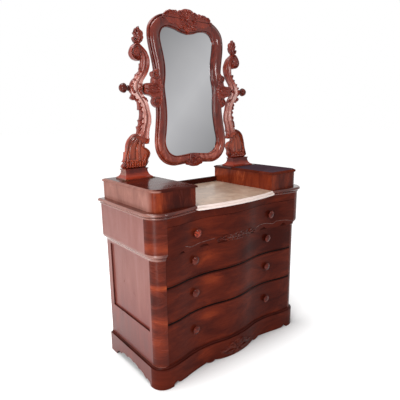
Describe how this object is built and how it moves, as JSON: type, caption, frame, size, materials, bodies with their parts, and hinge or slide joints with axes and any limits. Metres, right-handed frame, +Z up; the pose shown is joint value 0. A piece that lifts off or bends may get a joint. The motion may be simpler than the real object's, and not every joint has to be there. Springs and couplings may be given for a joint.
{
  "type": "dresser",
  "caption": "Serpentine-front dresser with deep drawers, a marble well between lidded glove boxes, and a tilting mirror in carved scroll standards.",
  "frame": {"origin": "on the floor, under the centre of the whole object's plan box", "axes": "+X to the viewer's right, +Y to the back, +Z up; the drawers open towards -Y"},
  "size_m": [1.15, 0.563, 1.9727],
  "materials": {
    "wood_case": "French-polished flame mahogany",
    "wood_carved": "polished carved mahogany",
    "wood_inner": "plain planed softwood",
    "marble": "polished clouded beige marble",
    "mirror": "silvered glass",
    "brass": "aged brass"
  },
  "bodies": {
    "case": {"back_boards": "wood_inner", "back_rail": "wood_case", "base_back": "wood_inner", "base_carving": "wood_carved", "base_front": "wood_case", "base_moulding": "wood_case", "base_side_left": "wood_case", "base_side_right": "wood_case", "bottom_board": "wood_inner", "box_floors": "wood_inner", "box_front_left": "wood_case", "box_front_right": "wood_case", "box_rear_tops": "wood_case", "box_walls": "wood_case", "corner_post_left": "wood_case", "corner_post_right": "wood_case", "deck_board": "wood_inner", "deck_moulding": "wood_case", "drawer_dividers": "wood_case", "drawer_runners": "wood_inner", "finials": "wood_carved", "frieze_posts": "wood_case", "frieze_rail": "wood_case", "frieze_side_left": "wood_case", "frieze_side_right": "wood_case", "lid_hinges": "brass", "marble_top": "marble", "side_frame_left": "wood_case", "side_frame_right": "wood_case", "side_panels": "wood_case", "standard_left": "wood_carved", "standard_plinths": "wood_carved", "standard_right": "wood_carved", "transition_moulding": "wood_case"},
    "drawer_1": {"drawer_1_front": "wood_case", "drawer_1_box": "wood_inner", "drawer_1_knobs": "wood_case", "drawer_1_carving": "wood_carved"},
    "drawer_2": {"drawer_2_front": "wood_case", "drawer_2_box": "wood_inner", "drawer_2_knobs": "wood_case"},
    "drawer_3": {"drawer_3_front": "wood_case", "drawer_3_box": "wood_inner", "drawer_3_knobs": "wood_case"},
    "drawer_4": {"drawer_4_front": "wood_case", "drawer_4_box": "wood_inner", "drawer_4_knobs": "wood_case"},
    "lid_left": {"lid_left": "wood_case", "lid_leaves_left": "brass"},
    "lid_right": {"lid_right": "wood_case", "lid_leaves_right": "brass"},
    "mirror": {"mirror_frame": "wood_carved", "mirror_glass": "mirror", "mirror_backboard": "wood_inner", "crest_carving": "wood_carved", "bottom_carving": "wood_carved", "mirror_ears": "wood_carved", "pivot_sockets": "brass"},
    "pivot_knob_left": {"pivot_knob_left": "wood_carved"},
    "pivot_knob_right": {"pivot_knob_right": "wood_carved"}
  },
  "joints": [
    {"name": "drawer_1_slide", "type": "slide", "parent": "case", "child": "drawer_1", "axis": [0, -1, 0], "range_m": [0, 0.34]},
    {"name": "drawer_2_slide", "type": "slide", "parent": "case", "child": "drawer_2", "axis": [0, -1, 0], "range_m": [0, 0.34]},
    {"name": "drawer_3_slide", "type": "slide", "parent": "case", "child": "drawer_3", "axis": [0, -1, 0], "range_m": [0, 0.34]},
    {"name": "drawer_4_slide", "type": "slide", "parent": "case", "child": "drawer_4", "axis": [0, -1, 0], "range_m": [0, 0.34]},
    {"name": "lid_left_hinge", "type": "hinge", "parent": "case", "child": "lid_left", "pos_m": [0, 0.105, 1.0485], "axis": [-1, 0, 0], "range_deg": [0, 93]},
    {"name": "lid_right_hinge", "type": "hinge", "parent": "case", "child": "lid_right", "pos_m": [0, 0.105, 1.0485], "axis": [-1, 0, 0], "range_deg": [0, 93]},
    {"name": "mirror_tilt", "type": "hinge", "parent": "case", "child": "mirror", "pos_m": [0, 0.1745, 1.5258], "axis": [1, 0, 0], "range_deg": [-20, 20]},
    {"name": "pivot_knob_left_turn", "type": "hinge", "parent": "mirror", "child": "pivot_knob_left", "pos_m": [-0.42, 0.1745, 1.5258], "axis": [-1, 0, 0], "continuous": true},
    {"name": "pivot_knob_right_turn", "type": "hinge", "parent": "mirror", "child": "pivot_knob_right", "pos_m": [0.42, 0.1745, 1.5258], "axis": [1, 0, 0], "continuous": true}
  ]
}
